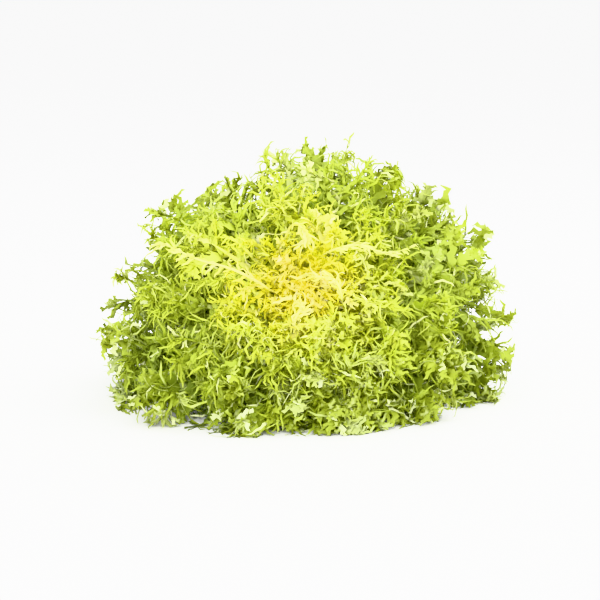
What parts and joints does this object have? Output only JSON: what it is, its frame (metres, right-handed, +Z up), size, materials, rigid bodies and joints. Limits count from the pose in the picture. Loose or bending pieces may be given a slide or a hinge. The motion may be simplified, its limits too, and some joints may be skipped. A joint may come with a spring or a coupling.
{
  "type": "curly endive head",
  "caption": "Head of curly endive, cut at the root: frilly notched leaves fan out from one crown round a pale yellow heart, lying tipped over on its stem and lower leaves.",
  "frame": {"origin": "centre of the head's outline on the surface that it rests on", "axes": "+Z up from that surface; +X along the head's widest extent; the yellow heart faces -Y and upwards, and the cut stem points to +Y and downwards"},
  "size_m": [0.3041, 0.2504, 0.1931],
  "materials": {
    "stem": "firm white-green stump, ridged lengthwise, with a dry tan cut face",
    "heart_leaf": "tender blanched leaf, yellow blades on ivory ribs, satin and slightly see-through",
    "inner_leaf": "yellow-green leaf with a pale rib, satin and slightly see-through",
    "outer_leaf": "mid-green leaf with a pale rib, satin with a waxy gloss"
  },
  "bodies": {
    "root": {"stem": "stem", "heart": "heart_leaf", "inner_leaf_01": "inner_leaf", "inner_leaf_02": "inner_leaf", "inner_leaf_03": "inner_leaf", "inner_leaf_04": "inner_leaf", "inner_leaf_05": "inner_leaf", "inner_leaf_06": "inner_leaf", "inner_leaf_07": "inner_leaf", "inner_leaf_08": "inner_leaf", "inner_leaf_09": "inner_leaf", "inner_leaf_10": "inner_leaf", "inner_leaf_11": "inner_leaf", "inner_leaf_12": "inner_leaf", "inner_leaf_13": "inner_leaf", "inner_leaf_14": "inner_leaf", "inner_leaf_15": "inner_leaf", "inner_leaf_16": "inner_leaf", "inner_leaf_17": "inner_leaf", "inner_leaf_18": "inner_leaf", "inner_leaf_19": "inner_leaf", "inner_leaf_20": "inner_leaf", "inner_leaf_21": "inner_leaf", "inner_leaf_22": "inner_leaf", "inner_leaf_23": "inner_leaf", "inner_leaf_24": "inner_leaf", "inner_leaf_25": "inner_leaf", "inner_leaf_26": "inner_leaf", "inner_leaf_27": "inner_leaf", "inner_leaf_28": "inner_leaf", "inner_leaf_29": "inner_leaf", "inner_leaf_30": "inner_leaf", "outer_leaf_01": "outer_leaf", "outer_leaf_02": "outer_leaf", "outer_leaf_03": "outer_leaf", "outer_leaf_04": "outer_leaf", "outer_leaf_05": "outer_leaf", "outer_leaf_06": "outer_leaf", "outer_leaf_07": "outer_leaf", "outer_leaf_08": "outer_leaf", "outer_leaf_09": "outer_leaf", "outer_leaf_10": "outer_leaf", "outer_leaf_11": "outer_leaf", "outer_leaf_12": "outer_leaf", "outer_leaf_13": "outer_leaf", "outer_leaf_14": "outer_leaf", "outer_leaf_15": "outer_leaf", "outer_leaf_16": "outer_leaf", "outer_leaf_17": "outer_leaf", "outer_leaf_18": "outer_leaf", "outer_leaf_19": "outer_leaf", "outer_leaf_20": "outer_leaf", "outer_leaf_21": "outer_leaf", "outer_leaf_22": "outer_leaf", "outer_leaf_23": "outer_leaf", "outer_leaf_24": "outer_leaf", "outer_leaf_25": "outer_leaf", "outer_leaf_26": "outer_leaf"}
  },
  "joints": []
}
